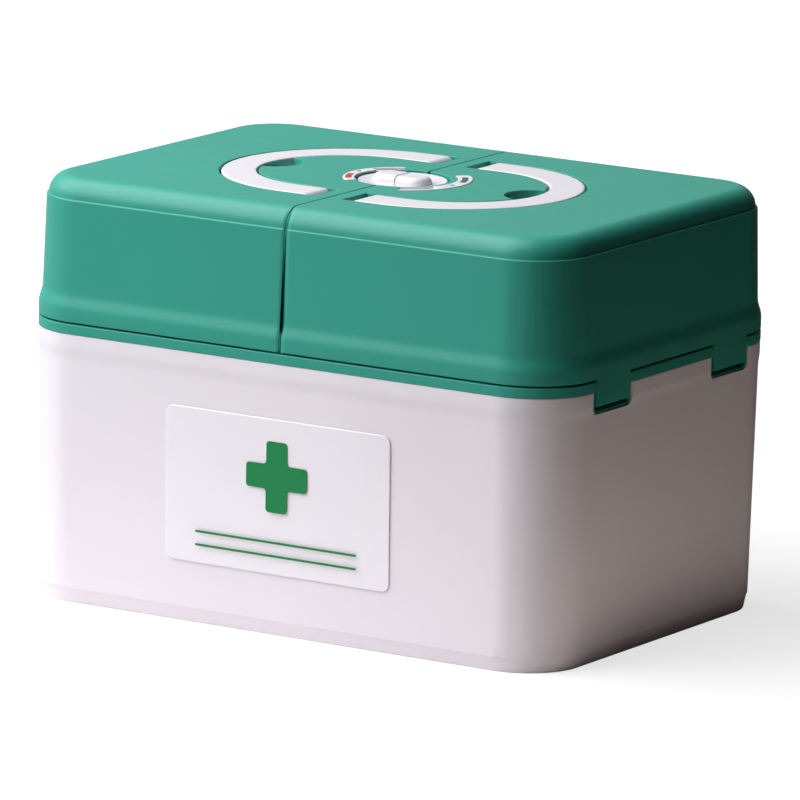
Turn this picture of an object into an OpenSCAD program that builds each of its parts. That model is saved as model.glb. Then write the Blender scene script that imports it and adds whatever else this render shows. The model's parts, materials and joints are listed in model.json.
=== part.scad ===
// Medicine box with two outward-opening lids, two bail handles and a turning lock.
// X runs left to right, Y front to back, Z up. The origin is at the middle of the
// underside. All sizes are in millimetres.

/* [Overall size] */
// width across the skirts of the two lids
box_w = 330; // [270:1:420]
// depth across the skirts
box_d = 231.5; // [200:0.5:300]
// plan corner radius at the skirts
corner_r = 36.3; // [26:0.1:50]
// height of the flat top of the closed lids
box_top = 222.8; // [205:0.1:270]

/* [Bin] */
// height of the bin's top edge, where the rim sits
bin_h = 142.4; // [120:0.1:170]
// bin wall
bin_t = 2.6; // [1.8:0.1:4]
// bin floor
bin_floor_t = 3; // [2:0.1:6]
// how far the foot's lower edge is set in from the skirts
foot_in = 5; // [3.5:0.1:9]
// height of the foot's slope
foot_h = 8; // [4:0.5:14]
// how far the wall is set in just above the foot
wall_in_low = 3.1; // [2:0.1:5]
// how far the wall is set in just below the top band
wall_in_high = 0.9; // [0.6:0.1:4]
// how far the top band is set in
band_in = 0.2; // [0.1:0.1:1]
// height of the top band
band_h = 5.9; // [4:0.1:14]
// height of the soft step under the band
band_blend = 7.9; // [1.5:0.1:10]

/* [Label plate] */
// label width
label_w = 136; // [80:0.5:180]
// label height
label_h = 81.3; // [40:0.1:95]
// height of the label's middle above the ground
label_z = 73; // [55:0.5:80]
// label corner radius
label_r = 4.6; // [1:0.1:10]
// label thickness
label_t = 0.8; // [0.4:0.1:2]

/* [Rim frame] */
// height of the green band that shows
rim_h = 5.3; // [4:0.1:9]
// outer wall of the rim
rim_t = 2.2; // [1.6:0.1:3]
// thickness of the deck
deck_t = 2.6; // [1.8:0.1:4]
// width of the deck, from the outer face inward
deck_w = 13.7; // [12.8:0.1:20]
// wall that hangs from the deck's inner edge
drop_t = 2; // [1.4:0.1:3]
// how far that wall hangs below the deck's top
drop_h = 19; // [12:0.5:30]
// rib that stands inside the bin's wall
locate_t = 1.6; // [1:0.1:3]
// how far the rib reaches below the bin's top edge
locate_h = 4; // [2:0.5:8]
// upstand against dust, inside the lids
lip_h = 3.8; // [2:0.1:8]
// thickness of the upstand
lip_t = 1.6; // [1:0.1:3]
// gap from the upstand to the lid's wall
lip_gap = 0.7; // [0.4:0.1:1.5]
// small chamfer on the edges either side of the dark line
edge_c = 0.4; // [0.3:0.1:1.2]

/* [Lids] */
// lid wall
lid_t = 2.4; // [1.8:0.1:3]
// gap between the rim's deck and the lids
lid_gap = 1; // [0.6:0.1:2]
// gap between the two lids
split_gap = 0.8; // [0.4:0.1:2]
// height of the upright skirt
skirt_h = 5.8; // [4:0.1:14]
// height of the flare above the skirt
flare_h = 9.6; // [4:0.1:14]
// how far the flare draws the wall in
flare_in = 2; // [0.8:0.1:3]
// how far the wall is set in at the ridge
ridge_in = 3.4; // [2.4:0.1:6]
// rounding of the ridge's edge
ridge_r = 0.9; // [0.3:0.1:1.6]
// width of the flat ledge inside that rounding
ledge_in = 0.2; // [0.1:0.1:1.4]
// height of the rounded crown above the ridge
crown_h = 10.6; // [7.6:0.1:16]
// depth of the flange along the split
flange_in = 3.6; // [2:0.1:4.4]
// thickness of the flange along the split
flange_t = 2.2; // [1.4:0.1:4]

/* [Hinges] */
// distance of each hinge tab from the middle, front and back
hinge_y = 58.4; // [40:0.1:62]
// width of a hinge tab
tab_w = 31.5; // [20:0.1:34]
// hinge axis, in from the end face
hinge_in = 4; // [3.6:0.1:5]
// hinge axis, below the rim's deck
hinge_drop = 9.2; // [8.6:0.1:12]
// radius of the hinge barrel
barrel_r = 4; // [3.4:0.1:4.4]
// hinge pin diameter
hinge_pin_d = 4; // [2.5:0.1:4.5]
// gap beside the tab in its pocket
tab_gap = 0.8; // [0.4:0.1:2]
// gap round the tab's swing in its pocket
swing_gap = 0.8; // [0.4:0.1:2]
// pocket side wall
pocket_t = 2.2; // [1.4:0.1:3.5]
// pocket floor and lower lip
pocket_floor_t = 1.1; // [0.8:0.1:2]
// how far the pocket's front edge is set in
pocket_in = 1.2; // [0.4:0.1:2]
// outer corner radius of the pocket
pocket_r = 4; // [2.5:0.1:6]

/* [Handles] */
// reach of a handle from the middle of the box
bail_reach = 98.6; // [85:0.1:108]
// half the width of a handle, front to back
bail_half = 70.4; // [60:0.1:78]
// width of a handle's arms
bail_arm = 21; // [16:0.1:24]
// width of a handle at its far end
bail_grip = 17.8; // [14:0.1:22]
// thickness of a handle
bail_t = 8; // [6:0.1:9]
// handle axis, out from the middle of the box
bail_axis_x = 16.4; // [14:0.1:22]
// gap round a handle in its recess
bail_gap = 1.2; // [0.6:0.1:2]
// gap under a lying handle
bail_rest = 0.2; // [0.1:0.1:1]
// near wall of the recess, out from the middle of the box
recess_x = 8.6; // [6:0.1:10]
// wall of the recess under the lid's top
tub_t = 2; // [1.4:0.1:3]
// handle pin diameter
bail_pin_d = 3.2; // [2:0.1:4]
// how far a handle pin stands in each of its bosses
bail_pin_in = 5; // [3:0.1:7]

/* [Finger scoops] */
// middle of a scoop, out from the middle of the box
scoop_x = 80.2; // [70:0.1:86]
// radius of a scoop
scoop_r = 15.6; // [10:0.1:18]
// depth of a scoop
scoop_h = 12.4; // [10:0.1:16]
// edge of the handle left over the scoop
relief_edge = 2.4; // [1.6:0.1:4]

/* [Lock] */
// radius of the knob
knob_r = 23.3; // [18:0.1:24]
// thickness of the knob's disc
knob_t = 5.4; // [4:0.1:7]
// radius of the knob's dish
dish_r = 21.8; // [18:0.1:22.4]
// depth of the knob's dish in the middle
dish_h = 3; // [2:0.1:3.4]
// height of the upright edge round the dish
dish_edge = 1.2; // [0.5:0.1:1.6]
// half the length of the grip across the knob
grip_half = 16.5; // [12:0.1:18]
// half the width of the grip, which is the radius of its ends
grip_r = 8.3; // [5:0.1:9]
// rounding of the grip's upper edge
grip_edge = 3.3; // [1:0.1:4]
// step between the grip's two halves
grip_step = 0.4; // [0.2:0.05:1]
// how far the grip stands above the knob's edge
grip_up = 2.3; // [1.4:0.1:4]
// gap under the knob's disc
knob_gap = 1; // [0.5:0.1:2]
// radius of the well round the knob
well_r = 25; // [24.4:0.1:26.4]
// wall of the well
well_t = 2.6; // [1.6:0.1:4]
// thickness of the well's floor
tongue_t = 3; // [2:0.1:5]
// gap from the left lid's tongue to the right lid
tongue_gap = 0.8; // [0.4:0.1:2]
// shaft diameter of the knob
shaft_d = 10; // [7:0.1:14]
// radius of the knob's shoulder on the well's floor
hub_r = 8.5; // [7:0.1:12]
// across the square end of the shaft
drive_w = 6.4; // [4.5:0.1:7]
// radial clearance of a turning fit
run_fit = 0.06; // [0.02:0.01:0.1]
// clearance of a pressed or seated fit
seat_fit = 0.02; // [0.01:0.01:0.1]
// flat clearance between turning faces
face_gap = 0.1; // [0.05:0.05:0.5]
// reach of the lock's hook
hook_r = 31; // [29:0.1:33]
// width of the hook, in degrees
hook_deg = 26; // [16:1:34]
// direction of the hook when released, in degrees from +X
hook_rest = 115; // [106:1:125]
// thickness of the hook plate
hook_t = 2.5; // [1.6:0.1:4]
// gap above and below the hook in its catch
hook_gap = 0.5; // [0.3:0.1:1]
// turn from released to locked, in degrees
lock_turn = 90; // [80:1:95]
// half the angle that the catch covers
catch_half = 20; // [14:1:24]
// thickness of the catch's lower lip
catch_t = 2.5; // [1.6:0.1:4]
// outer wall of the catch
catch_wall = 2.2; // [1.4:0.1:3.5]
// thickness of the catch's flange
catch_flange_t = 2.6; // [1.8:0.1:4]
// wall left between the right scale and the catch's screws
catch_web = 1.2; // [0.8:0.1:2]
// radius of the lock screw
screw_r = 1.5; // [1.2:0.1:2]
// radius of the screw heads
head_r = 2.9; // [2.4:0.1:4]
// height of the screw heads
head_h = 1.9; // [1.2:0.1:3]
// radius of the lock washer
washer_r = 5.4; // [4.6:0.1:7]
// thickness of the lock washer
washer_t = 0.8; // [0.5:0.1:1.5]

/* [Scales beside the knob] */
// outer radius of the left scale, which starts at the well's edge
scale_r_left = 31.2; // [29.8:0.1:36]
// inner radius of the right scale
scale_in_right = 28.7; // [27.4:0.1:30]
// outer radius of the right scale
scale_r_right = 36.4; // [35:0.1:40]
// how deep the scales are let into the lids
scale_deep = 3.2; // [2.4:0.1:3.6]
// how far the scales stand above the lids
scale_up = 0.3; // [0.1:0.1:0.8]
// first edge of the right scale, in degrees from +X
scale_a0 = -61; // [-70:1:-50]
// last edge of the right scale, in degrees from +X
scale_a1 = 50; // [40:1:60]
// corner radius at the scales' tips
scale_tip = 2.8; // [1:0.1:3]
// width of the ramp's outer edge
ramp_edge = 2; // [1:0.1:3]
// drop where the ramp starts
ramp_drop = 0.7; // [0.3:0.1:1.2]
// depth of the ramp at its end
ramp_h = 2; // [1.4:0.1:2.2]
// length of the ramp, in degrees
ramp_deg = 36; // [20:1:40]
// pad under the lids' top that holds the scales
pad_h = 5; // [4:0.1:6]
// radius of the pad
pad_r = 46.6; // [44:0.1:48]
// thickness of a colour mark
mark_t = 0.8; // [0.4:0.1:1.6]
// width of the colour marks
mark_w = 2.9; // [2:0.1:4]
// length of the colour marks, in degrees
mark_deg = 27; // [12:1:30]

/* [Lift-out tray] */
// gap between the tray and the rim
tray_gap = 0.8; // [0.5:0.1:2]
// tray wall
tray_t = 2; // [1.4:0.1:3]
// depth of the tray below the deck
tray_h = 44; // [25:0.5:70]
// how far the tray's foot is drawn in
tray_draft = 2; // [0.5:0.1:5]
// thickness of the tray's flange
tray_flange_t = 2; // [1.4:0.1:3]
// width of the flange's seat on the deck
tray_seat = 4.2; // [3:0.1:5]
// distance of the cross walls from the middle
bay_x = 56; // [40:1:80]
// how far the cross walls stop below the deck
bay_low = 4; // [2:0.5:12]
// height of the carrying wall above the deck
grip_wall_h = 18; // [12:0.5:30]
// thickness of the carrying wall
grip_wall_t = 3.6; // [2.4:0.1:5]
// length of the hand hole
hand_w = 84; // [70:1:96]
// height of the hand hole
hand_h = 22; // [18:0.5:26]
// material above the hand hole
hand_bar = 8; // [5:0.5:12]
// height of the carrying wall's ears above the tray's floor
ear_up = 6; // [2:0.5:12]
// height of the ears
ear_h = 8; // [4:0.5:14]
// thickness of a divider
divider_t = 1.8; // [1.2:0.1:3]
// distance of the dividers from the middle
divider_x = 100; // [85:1:120]
// how far the dividers stop below the deck
divider_low = 6; // [3:0.5:15]
// gap round a divider in its guides
divider_gap = 0.3; // [0.15:0.05:0.6]
// width of the guide ribs
guide_t = 1.6; // [1:0.1:3]
// how far the guide ribs stand out
guide_in = 2.4; // [1.5:0.1:4]

/* [Hidden] */
fine = 96;
rim_top = bin_h + rim_h;
lid_low = rim_top + lid_gap;
flange_low = rim_top + lip_h + lip_gap;
flare_z0 = lid_low + skirt_h;
flare_z1 = flare_z0 + flare_h;
ridge_z = box_top - crown_h;
crown_in = ridge_in + ridge_r + ledge_in;
band_z = bin_h - band_h;
step_z = band_z - band_blend;
axis_x = box_w / 2 - hinge_in;
axis_z = rim_top - hinge_drop;
swing_r = norm([hinge_in, barrel_r]);
pocket_back = hinge_in + swing_r + swing_gap;
pocket_floor = axis_z - swing_r - swing_gap;
pocket_w = tab_w + 2 * tab_gap;
liner_w = pocket_w + 2 * pocket_t;
liner_low = pocket_floor - pocket_floor_t;
locate_in = band_in + bin_t + divider_gap;
bail_out_cx = bail_reach - bail_half;
bail_in_r = bail_half - bail_arm;
bail_in_cx = bail_reach - bail_grip - bail_in_r;
bail_axis_z = box_top - bail_t / 2;
recess_floor = box_top - bail_t - bail_rest;
recess_in_y = bail_in_r - bail_gap;
recess_out_y = bail_half + bail_gap;
scoop_floor = box_top - scoop_h;
tongue_top = box_top - knob_t - knob_gap;
tongue_low = tongue_top - tongue_t;
tongue_r = well_r - tongue_gap;
hook_top = tongue_low - hook_gap;
hook_low = hook_top - hook_t;
catch_mid = hook_rest - lock_turn;
catch_in_r = well_r + tongue_gap;
scale_in_left = well_r;
catch_groove_r = hook_r + hook_gap;
catch_out_r = catch_groove_r + catch_wall;
catch_lip_top = hook_low - hook_gap;
catch_low = catch_lip_top - catch_t;
pad_low = box_top - pad_h;
catch_screw_r = max(catch_out_r + head_r + hook_gap, scale_r_right + screw_r + catch_web);
catch_flange_r = catch_screw_r + head_r + hook_gap;
catch_screw_deg = catch_half * 0.62;
tip_ease = 0.03;
tray_in = deck_w + tray_gap;
tray_low = rim_top - tray_h;
tray_floor = tray_low + tray_t;
tray_top = rim_top + tray_flange_t;
grip_top = rim_top + grip_wall_h;
hand_top = grip_top - hand_bar;
carrier_x = bay_x - tray_t / 2 - seat_fit;
ear_low = tray_floor + ear_up;
wall_slope = atan((wall_in_low - wall_in_high) / (step_z - foot_h));
label_in = wall_in_low - (label_z - foot_h) * tan(wall_slope);
green = "#5fae99";
white = "#ebe6ec";
steel = "#b8bcc2";

// smooth step from 0 to 1
function ease(t) = (1 - cos(180 * t)) / 2;

// section of a straight run: the profile on both sides and the middle filled
module run_section(c, z0, z1) {
  translate([c, 0]) children(0);
  mirror([1, 0]) translate([c, 0]) children(0);
  translate([-c, z0]) square([2 * c, z1 - z0]);
}

// rounded box from one profile; in the profile x counts outward from the corner centres
module round_box(z0, z1) {
  cx = box_w / 2 - corner_r;
  cy = box_d / 2 - corner_r;
  for (i = [0 : 3]) {
    sx = (i == 0 || i == 3) ? 1 : -1;
    sy = (i < 2) ? 1 : -1;
    translate([sx * cx, sy * cy, 0]) rotate([0, 0, 90 * i])
      rotate_extrude(angle = 90, $fn = fine) children(0);
  }
  translate([-cx, 0, 0]) rotate([90, 0, 90]) linear_extrude(2 * cx)
    run_section(cy, z0, z1) children(0);
  translate([0, cy, 0]) rotate([90, 0, 0]) linear_extrude(2 * cy)
    run_section(cx, z0, z1) children(0);
}

// straight-sided rounded box, set in by e
module inset_box(e, z0, z1) {
  round_box(z0, z1) translate([0, z0]) square([corner_r - e, z1 - z0]);
}

// closed ring between two insets
module inset_ring(e0, e1, z0, z1) {
  difference() {
    inset_box(e0, z0, z1);
    inset_box(e1, z0 - 1, z1 + 1);
  }
}

// plan of a sector, from angle a0 to a1
module sector(a0, a1, r) {
  n = 6;
  polygon(concat([[0, 0]], [for (i = [0 : n]) let(a = a0 + (a1 - a0) * i / n)
    [r * cos(a), r * sin(a)]]));
}

// plan of a ring
module ring2d(r0, r1) {
  difference() {
    circle(r = r1, $fn = fine);
    circle(r = r0, $fn = fine);
  }
}

// plan of an arc-shaped bar
module arc2d(r0, r1, a0, a1) {
  intersection() {
    ring2d(r0, r1);
    sector(a0, a1, 2 * r1);
  }
}

// rounded rectangle in plan
module round_rect(w, h, r) {
  translate([-w / 2 + r, -h / 2]) square([w - 2 * r, h]);
  translate([-w / 2, -h / 2 + r]) square([w, h - 2 * r]);
  for (sx = [-1, 1])
    for (sy = [-1, 1])
      translate([sx * (w / 2 - r), sy * (h / 2 - r)]) circle(r = r, $fn = 48);
}

// Bin
module bin_skin() {
  polygon(concat(
    [[0, 0], [corner_r - foot_in, 0], [corner_r - wall_in_low - 0.5, foot_h - 0.6],
     [corner_r - wall_in_low, foot_h], [corner_r - wall_in_high, step_z]],
    [for (i = [1 : 6])
      [corner_r - wall_in_high + (wall_in_high - band_in) * ease(i / 6), step_z + band_blend * i / 6]],
    [[corner_r - band_in, bin_h], [0, bin_h]]));
}

module bin_hollow() {
  polygon([[0, bin_floor_t], [corner_r - foot_in - bin_t - 1, bin_floor_t],
    [corner_r - wall_in_low - bin_t, foot_h + 2], [corner_r - wall_in_high - bin_t, step_z],
    [corner_r - band_in - bin_t, band_z + 1], [corner_r - band_in - bin_t, bin_h + 1], [0, bin_h + 1]]);
}

// outline of a hinge pocket in the end wall, y across and z up
module pocket_face(w, z0, z1, r) {
  translate([-w / 2 + r, z0]) square([w - 2 * r, z1 - z0]);
  translate([-w / 2, z0 + r]) square([w, z1 - z0 - r]);
  for (s = [-1, 1])
    translate([s * (w / 2 - r), z0 + r]) circle(r = r, $fn = 48);
}

// that outline as a block reaching from e0 to e1 in from the end face
module pocket_block(w, z0, z1, r, e0, e1) {
  for (sx = [-1, 1])
    for (sy = [-1, 1])
      mirror([sx < 0 ? 1 : 0, 0, 0])
        translate([box_w / 2 - e1, sy * hinge_y, 0]) rotate([90, 0, 90])
          linear_extrude(e1 - e0) pocket_face(w, z0, z1, r);
}

module base_bin() {
  color(white) difference() {
    round_box(0, bin_h) bin_skin();
    round_box(bin_floor_t, bin_h + 1) bin_hollow();
    pocket_block(liner_w + 2 * divider_gap, liner_low - divider_gap, bin_h + 1,
      pocket_r + divider_gap, -1, pocket_back);
  }
}

module label_plate() {
  color("#f4f1f5") translate([0, -box_d / 2 + label_in, label_z]) rotate([90 + wall_slope, 0, 0])
    linear_extrude(label_t) round_rect(label_w, label_h, label_r);
}

// Rim frame
module rim_skin() {
  polygon([[0, bin_h], [corner_r, bin_h], [corner_r, rim_top - edge_c],
    [corner_r - edge_c, rim_top], [0, rim_top]]);
}

module rim_frame() {
  color(green) difference() {
    union() {
      difference() {
        round_box(bin_h, rim_top) rim_skin();
        inset_ring(rim_t, deck_w - drop_t, bin_h - 1, rim_top - deck_t);
        inset_box(deck_w, bin_h - 1, rim_top + 1);
      }
      inset_ring(locate_in, locate_in + locate_t, bin_h - locate_h, rim_top - 1);
      inset_ring(deck_w - drop_t, deck_w, rim_top - drop_h, rim_top - 1);
      difference() {
        inset_ring(lid_t + lip_gap, lid_t + lip_gap + lip_t, rim_top - 1, rim_top + lip_h);
        pocket_block(pocket_w + 4, rim_top, rim_top + lip_h + 1, 0.2, 0, deck_w);
      }
      pocket_block(liner_w, liner_low, rim_top - 1, pocket_r, pocket_in, deck_w);
    }
    pocket_block(pocket_w, pocket_floor, rim_top + lip_h + 1, pocket_r - pocket_t, -1, pocket_back);
    hinge_bores(hinge_pin_d / 2 + seat_fit, liner_w);
    inset_box(deck_w, liner_low - 1, rim_top + lip_h + 2);
  }
}

// bores or pins along both hinge axes
module hinge_rods(side, r, len) {
  for (sy = [-1, 1])
    translate([side * axis_x, sy * hinge_y - len / 2, axis_z]) rotate([-90, 0, 0])
      cylinder(r = r, h = len, $fn = 48);
}

module hinge_bores(r, len) {
  hinge_rods(-1, r, len + 1);
  hinge_rods(1, r, len + 1);
}

module hinge_pins_left() {
  color(steel) hinge_rods(-1, hinge_pin_d / 2, liner_w);
}

module hinge_pins_right() {
  color(steel) hinge_rods(1, hinge_pin_d / 2, liner_w);
}

// Lids
module lid_skin() {
  cx = corner_r - crown_in - crown_h;
  polygon(concat(
    [[0, lid_low], [corner_r - edge_c, lid_low], [corner_r, lid_low + edge_c], [corner_r, flare_z0]],
    [for (i = [1 : 8]) [corner_r - flare_in * ease(i / 8), flare_z0 + flare_h * i / 8]],
    [for (i = [0 : 4]) [corner_r - ridge_in - ridge_r * (1 - cos(22.5 * i)),
      ridge_z - ridge_r * (1 - sin(22.5 * i))]],
    [[0, ridge_z]]));
  translate([0, ridge_z]) square([cx, crown_h]);
  intersection() {
    translate([cx, ridge_z]) circle(r = crown_h, $fn = fine);
    translate([cx, ridge_z]) square([crown_h, crown_h]);
  }
}

// hollow of the lids for a wall of thickness t
module lid_hollow(t) {
  cx = corner_r - crown_in - crown_h;
  ri = crown_h - t;
  polygon([[0, lid_low - 1], [corner_r - t, lid_low - 1], [corner_r - t, flare_z0],
    [corner_r - t - flare_in, flare_z1], [corner_r - t - crown_in, ridge_z], [0, ridge_z]]);
  translate([0, ridge_z]) square([cx, ri]);
  intersection() {
    translate([cx, ridge_z]) circle(r = ri, $fn = fine);
    translate([cx, ridge_z]) square([ri, ri]);
  }
}

module lid_solid() {
  round_box(lid_low, box_top) lid_skin();
}

module lid_space(t) {
  round_box(lid_low - 1, box_top - t) lid_hollow(t);
}

// everything to the right of x
module right_of(x) {
  translate([x, -box_d, -10]) cube([box_w, 2 * box_d, box_top + 60]);
}

// plan of a handle, grown by g, cut off at x0
module bail_plan(x0, g) {
  difference() {
    intersection() {
      union() {
        translate([bail_out_cx, 0]) circle(r = bail_half + g, $fn = fine);
        translate([x0, -bail_half - g]) square([bail_out_cx - x0, 2 * (bail_half + g)]);
      }
      translate([x0, -box_d / 2]) square([box_w, box_d]);
    }
    translate([bail_in_cx, 0]) circle(r = bail_in_r - g, $fn = fine);
    translate([x0 - 1, -bail_in_r + g]) square([bail_in_cx - x0 + 1, 2 * (bail_in_r - g)]);
  }
}

// section of a hinge tab, x across and z up
module tab_section() {
  translate([axis_x, axis_z]) circle(r = barrel_r, $fn = 48);
  polygon([[axis_x, axis_z - barrel_r], [box_w / 2 - 0.5, axis_z - barrel_r],
    [box_w / 2, axis_z - barrel_r + 0.5], [box_w / 2, flare_z0], [box_w / 2 - lid_t, flare_z0],
    [box_w / 2 - lid_t, lid_low + 3], [axis_x - barrel_r, rim_top - 2], [axis_x - barrel_r, axis_z]]);
}

module hinge_tabs() {
  for (sy = [-1, 1])
    translate([0, sy * hinge_y + tab_w / 2, 0]) rotate([90, 0, 0])
      linear_extrude(tab_w) tab_section();
}

// rods along the handle axis, through both arms
module bail_rods(r, more) {
  len = recess_out_y - recess_in_y + 2 * bail_pin_in + more;
  for (sy = [-1, 1])
    translate([bail_axis_x, sy * (recess_out_y + recess_in_y) / 2 - len / 2, bail_axis_z])
      rotate([-90, 0, 0]) cylinder(r = r, h = len, $fn = 48);
}

// bosses that hold the handle pins
module bail_bosses() {
  w = bail_pin_d + 5;
  z0 = recess_floor - tub_t;
  z1 = box_top - lid_t / 2;
  for (sy = [-1, 1]) {
    translate([bail_axis_x - w / 2, sy > 0 ? recess_out_y : -recess_out_y - bail_pin_in, z0])
      cube([w, bail_pin_in, z1 - z0]);
    translate([bail_axis_x - w / 2, sy > 0 ? recess_in_y - bail_pin_in : -recess_in_y, z0])
      cube([w, bail_pin_in, z1 - z0]);
  }
}

// right-hand lid without its lock parts
module lid_half() {
  difference() {
    union() {
      intersection() {
        difference() {
          lid_solid();
          lid_space(lid_t);
        }
        right_of(split_gap / 2);
      }
      intersection() {
        difference() {
          lid_solid();
          lid_space(lid_t + flange_in);
        }
        translate([split_gap / 2, -box_d, flange_low]) cube([flange_t, 2 * box_d, box_top]);
      }
      translate([0, 0, recess_floor - tub_t]) linear_extrude(bail_t + bail_rest + tub_t - lid_t / 2)
        bail_plan(recess_x - tub_t, bail_gap + tub_t);
      translate([scoop_x, 0, scoop_floor - tub_t])
        cylinder(r = scoop_r + tub_t, h = scoop_h + tub_t - lid_t / 2, $fn = fine);
      bail_bosses();
      hinge_tabs();
    }
    translate([0, 0, recess_floor]) linear_extrude(bail_t + bail_rest + 1)
      bail_plan(recess_x, bail_gap);
    translate([scoop_x, 0, scoop_floor]) cylinder(r = scoop_r, h = scoop_h + 1, $fn = fine);
    hinge_rods(1, hinge_pin_d / 2 + run_fit, tab_w + 2);
  }
}

// pad under the top, the well's wall and the pocket of the scale
module lock_zone() {
  difference() {
    union() {
      lid_half();
      intersection() {
        union() {
          translate([0, 0, pad_low]) cylinder(r = pad_r, h = pad_h - lid_t / 2, $fn = fine);
          translate([0, 0, tongue_low])
            cylinder(r = well_r + well_t, h = box_top - tongue_low - lid_t / 2, $fn = fine);
        }
        right_of(split_gap / 2);
      }
    }
    translate([0, 0, tongue_low - 1]) cylinder(r = well_r, h = box_top, $fn = fine);
    bail_rods(bail_pin_d / 2 + seat_fit, 0.2);
  }
}

module scale_pocket(r0, r1, a0, a1) {
  translate([0, 0, box_top - scale_deep]) linear_extrude(scale_deep + 1)
    scale_plan(r0 - seat_fit, r1 + seat_fit, a0, a1, scale_tip);
}

module lid_right() {
  color(green) difference() {
    lock_zone();
    scale_pocket(scale_in_right, scale_r_right, scale_a0, scale_a1);
    catch_screw_rods(screw_r + seat_fit, pad_low - 1, pad_low + pad_h - 1.4);
  }
}

module lid_left() {
  color(green) difference() {
    union() {
      mirror([1, 0, 0]) lock_zone();
      translate([0, 0, tongue_low]) cylinder(r = tongue_r, h = tongue_t, $fn = fine);
      intersection() {
        translate([0, 0, tongue_low]) cylinder(r = well_r + well_t, h = tongue_t, $fn = fine);
        mirror([1, 0, 0]) right_of(split_gap / 2);
      }
    }
    scale_pocket(scale_in_left, scale_r_left, scale_a0 + 180, scale_a1 + 180);
    translate([0, 0, tongue_low - 1]) cylinder(r = shaft_d / 2 + run_fit, h = tongue_t + 2, $fn = 64);
  }
}

// Handles
module bail() {
  difference() {
    union() {
      translate([0, 0, box_top - bail_t]) linear_extrude(bail_t) bail_plan(bail_axis_x, 0);
      for (sy = [-1, 1])
        translate([bail_axis_x, sy * (bail_half - bail_arm / 2) - bail_arm / 2, bail_axis_z])
          rotate([-90, 0, 0]) cylinder(r = bail_t / 2, h = bail_arm, $fn = 64);
    }
    bail_rods(bail_pin_d / 2 + run_fit, 2);
    translate([scoop_x, 0, box_top - relief_edge - scoop_r]) sphere(r = scoop_r, $fn = fine);
  }
}

module handle_right() {
  color(white) bail();
}

module handle_left() {
  color(white) mirror([1, 0, 0]) bail();
}

module handle_pins_right() {
  color(steel) bail_rods(bail_pin_d / 2, 0);
}

module handle_pins_left() {
  color(steel) mirror([1, 0, 0]) bail_rods(bail_pin_d / 2, 0);
}

// Lock
// half of the grip, along +X: half-width r, rounded upper edge, top at z1
module grip_half_body(r, z0, z1) {
  c = grip_half - r;
  e = min(grip_edge, r - 1);
  translate([c, 0, 0]) rotate([0, 0, -90]) rotate_extrude(angle = 180, $fn = fine)
    grip_section(r, e, z0, z1);
  rotate([90, 0, 90]) linear_extrude(c) union() {
    grip_section(r, e, z0, z1);
    mirror([1, 0]) grip_section(r, e, z0, z1);
  }
}

// right half of the grip's section
module grip_section(r, e, z0, z1) {
  translate([0, z0]) square([r, z1 - e - z0]);
  translate([0, z0]) square([r - e, z1 - z0]);
  intersection() {
    translate([r - e, z1 - e]) circle(r = e, $fn = 64);
    translate([r - e, z1 - e]) square([e, e]);
  }
}

module lock_knob() {
  dish_low = dish_h - dish_edge;
  dish_ball = (dish_r * dish_r + dish_low * dish_low) / (2 * dish_low);
  drive_low = hook_low - face_gap;
  grip_top_z = box_top + grip_up;
  color(white) difference() {
    union() {
      difference() {
        translate([0, 0, box_top - knob_t]) cylinder(r = knob_r, h = knob_t, $fn = fine);
        translate([0, 0, box_top - dish_edge]) cylinder(r = dish_r, h = dish_edge + 1, $fn = fine);
        translate([0, 0, box_top - dish_h + dish_ball]) sphere(r = dish_ball, $fn = fine);
      }
      mirror([1, 0, 0]) grip_half_body(grip_r, box_top - knob_t + 1, grip_top_z);
      grip_half_body(grip_r - grip_step, box_top - knob_t + 1, grip_top_z - grip_step);
      translate([0, 0, tongue_top + face_gap])
        cylinder(r = hub_r, h = box_top - knob_t - tongue_top, $fn = 64);
      translate([0, 0, hook_top + face_gap])
        cylinder(r = shaft_d / 2, h = box_top - knob_t - hook_top, $fn = 64);
      translate([-drive_w / 2, -drive_w / 2, drive_low]) cube([drive_w, drive_w, hook_t + 2]);
    }
    translate([0, 0, drive_low - 1]) cylinder(r = screw_r + seat_fit, h = 12, $fn = 32);
  }
}

module lock_hook() {
  color("#8f959b") difference() {
    translate([0, 0, hook_low]) linear_extrude(hook_t) difference() {
      union() {
        circle(r = hub_r, $fn = 64);
        arc2d(drive_w / 2, hook_r, hook_rest - hook_deg / 2, hook_rest + hook_deg / 2);
      }
      square([drive_w + 2 * seat_fit, drive_w + 2 * seat_fit], center = true);
    }
  }
}

module lock_washer() {
  z = hook_low - face_gap - washer_t;
  color(steel) difference() {
    translate([0, 0, z]) cylinder(r = washer_r, h = washer_t, $fn = 48);
    translate([0, 0, z - 1]) cylinder(r = screw_r + face_gap, h = washer_t + 2, $fn = 32);
  }
}

module lock_screw() {
  z = hook_low - face_gap - washer_t - head_h;
  color(steel) difference() {
    union() {
      translate([0, 0, z]) cylinder(r = head_r, h = head_h, $fn = 48);
      translate([0, 0, z]) cylinder(r = screw_r, h = head_h + washer_t + 9, $fn = 32);
    }
    cross_slot(z, head_r, head_h);
  }
}

// cross-shaped driver slot in the underside of a screw head
module cross_slot(z, r, h) {
  for (a = [0, 90])
    translate([0, 0, z + h * 0.25]) rotate([0, 0, a])
      cube([r * 1.2, r * 0.28, h * 0.5 + 0.02], center = true);
}

module catch_screw_rods(r, z0, z1) {
  for (s = [-1, 1])
    rotate([0, 0, catch_mid + s * catch_screw_deg]) translate([catch_screw_r, 0, z0])
      cylinder(r = r, h = z1 - z0, $fn = 32);
}

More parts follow.
